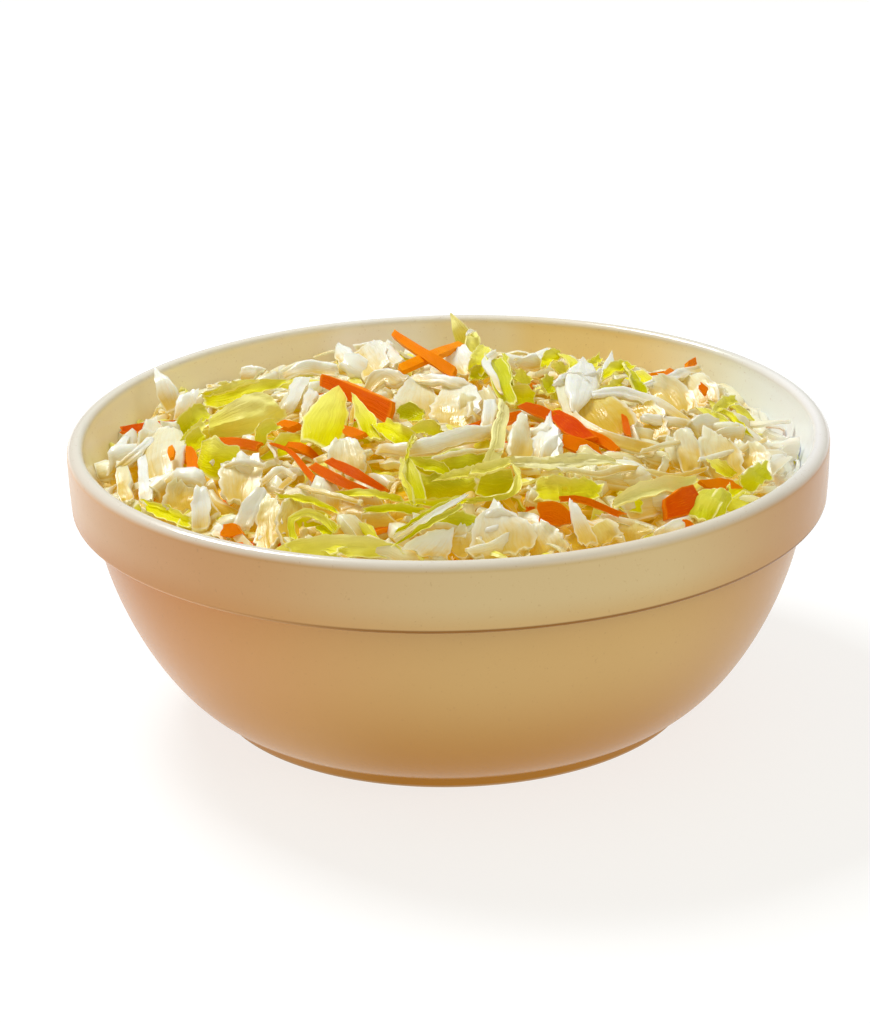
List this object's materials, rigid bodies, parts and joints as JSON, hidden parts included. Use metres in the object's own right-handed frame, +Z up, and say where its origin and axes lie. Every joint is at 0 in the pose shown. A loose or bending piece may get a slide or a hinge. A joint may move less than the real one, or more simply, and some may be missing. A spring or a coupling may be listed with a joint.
{
  "type": "bowl of coleslaw",
  "caption": "Round glazed bowl with a thick banded rim, filled with a low uneven heap of dressed shredded cabbage and carrot, served as a side salad.",
  "frame": {"origin": "centre of the foot's underside, on the surface that the bowl stands on", "axes": "+Z up along the bowl's axis; the heap's tallest leaf is towards +Y and the side shown first is towards -Y"},
  "size_m": [0.14, 0.14, 0.0585],
  "materials": {
    "bowl_glaze": "glossy tan stoneware glaze, paler on the lip",
    "dressed_slaw": "wet, creamy dressing over finely cut cabbage",
    "cabbage": "wet white cabbage ribs and chunks, pale yellow-green where thin",
    "leaf": "wet yellow-green to mid-green cabbage leaf with paler veins",
    "carrot": "wet orange carrot sticks and flakes, cut with sharp edges"
  },
  "bodies": {
    "root": {"bowl": "bowl_glaze", "coleslaw": "dressed_slaw"}
  },
  "joints": []
}
